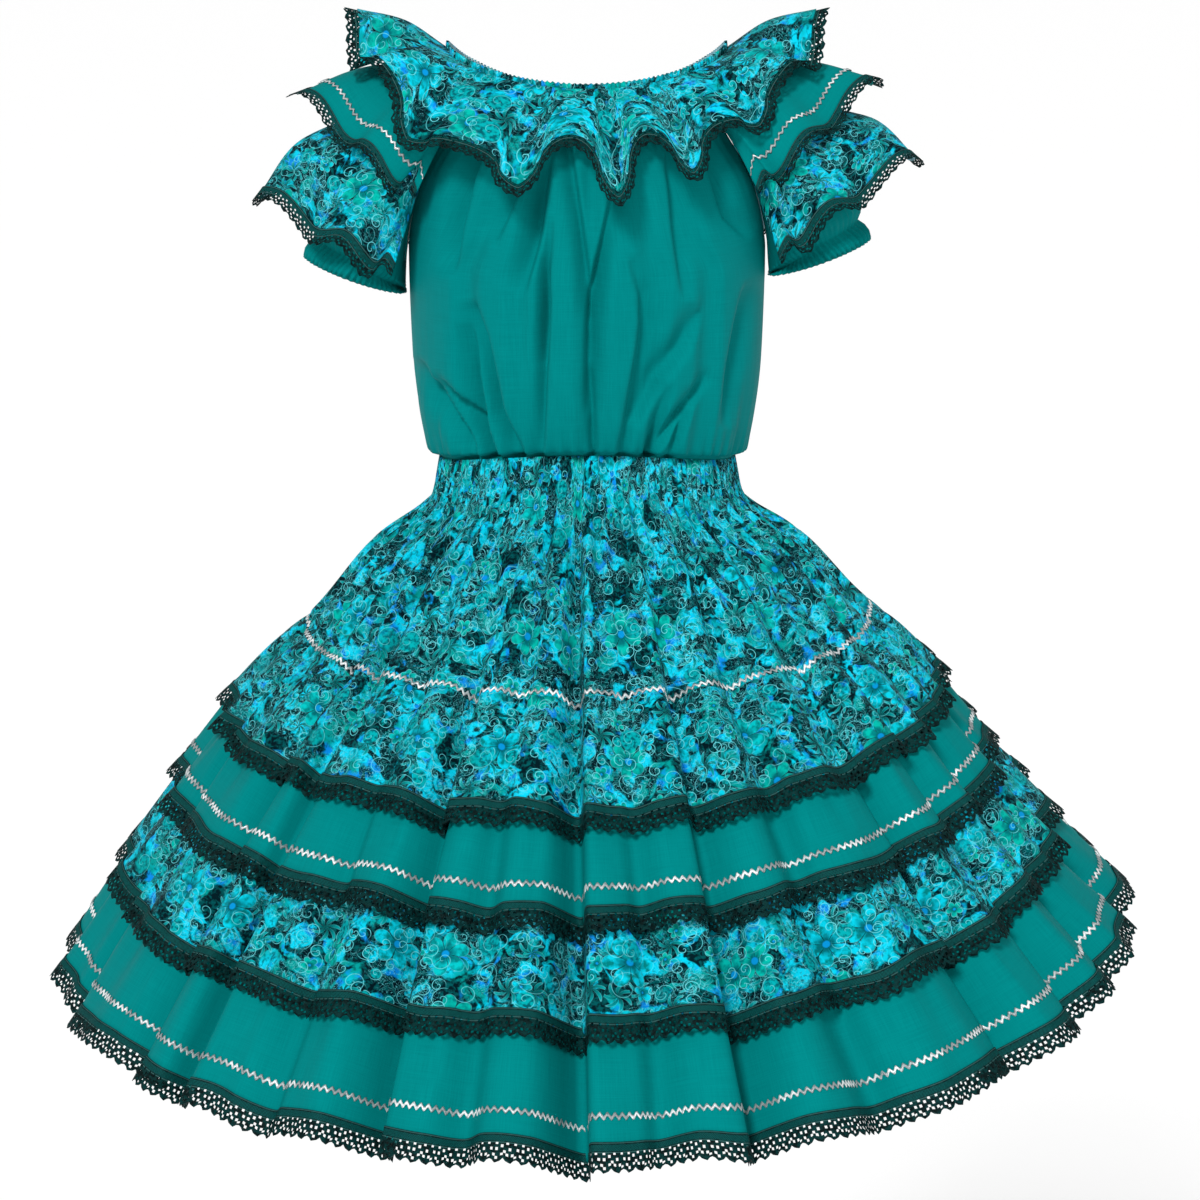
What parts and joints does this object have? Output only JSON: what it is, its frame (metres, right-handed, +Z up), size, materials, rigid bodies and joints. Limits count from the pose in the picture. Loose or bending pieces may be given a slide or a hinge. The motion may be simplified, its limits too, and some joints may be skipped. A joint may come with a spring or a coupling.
{
  "type": "square dance dress",
  "caption": "Hollow worn-form square dance dress: gathered peasant blouse with neck and sleeve ruffles over a full tiered skirt edged with lace and rickrack.",
  "frame": {"origin": "middle of the neckline at shoulder height, where the wearer's shoulders hold the dress up", "axes": "+Z up, -Y towards the wearer's front, +X towards the wearer's left"},
  "size_m": [0.959, 0.9077, 0.8604],
  "materials": {
    "plain_cotton": "plain woven poly-cotton with a fine slub",
    "print_cotton": "floral and scroll print in teal and blue on near black",
    "black_lace": "black raschel lace with a scalloped edge",
    "silver_rickrack": "white and silver metallic braid"
  },
  "bodies": {
    "root": {"skirt_tier_1": "print_cotton", "skirt_tier_2": "print_cotton", "skirt_lace_2": "black_lace", "skirt_tier_3": "plain_cotton", "skirt_lace_3": "black_lace", "skirt_tier_4": "print_cotton", "skirt_lace_4": "black_lace", "skirt_tier_5": "plain_cotton", "skirt_lace_5": "black_lace", "skirt_rickrack_2": "silver_rickrack", "skirt_rickrack_3": "silver_rickrack", "skirt_rickrack_5": "silver_rickrack", "bodice_front": "plain_cotton", "bodice_back": "plain_cotton", "neck_casing": "print_cotton", "neck_ruffle": "print_cotton", "neck_lace": "black_lace", "sleeve_left": "plain_cotton", "sleeve_ruffle_upper_left": "plain_cotton", "sleeve_lace_upper_left": "black_lace", "sleeve_rickrack_left": "silver_rickrack", "sleeve_ruffle_lower_left": "print_cotton", "sleeve_lace_lower_left": "black_lace", "sleeve_right": "plain_cotton", "sleeve_ruffle_upper_right": "plain_cotton", "sleeve_lace_upper_right": "black_lace", "sleeve_rickrack_right": "silver_rickrack", "sleeve_ruffle_lower_right": "print_cotton", "sleeve_lace_lower_right": "black_lace"}
  },
  "joints": []
}
